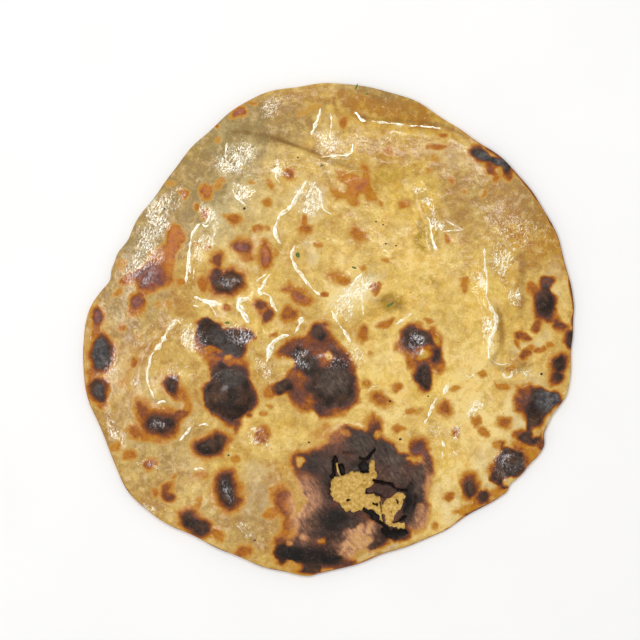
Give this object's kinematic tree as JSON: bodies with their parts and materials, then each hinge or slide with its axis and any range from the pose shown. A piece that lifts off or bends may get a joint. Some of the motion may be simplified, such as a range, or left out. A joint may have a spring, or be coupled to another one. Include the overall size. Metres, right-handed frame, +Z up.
{
  "type": "paratha flatbread",
  "caption": "Round flatbread with an uneven rim, low charred blisters, folds in its oily skin and one blister torn open to show the crumb.",
  "frame": {"origin": "middle of the bread's box at the surface that it rests on", "axes": "+Z up through the bread's thickness, from its underside to its browned top; +X and +Y across the bread, +Y towards the edge with the crescent fold"},
  "size_m": [0.2202, 0.2212, 0.0091],
  "materials": {
    "crust": "satin"
  },
  "bodies": {
    "root": {"paratha": "crust"}
  },
  "joints": []
}
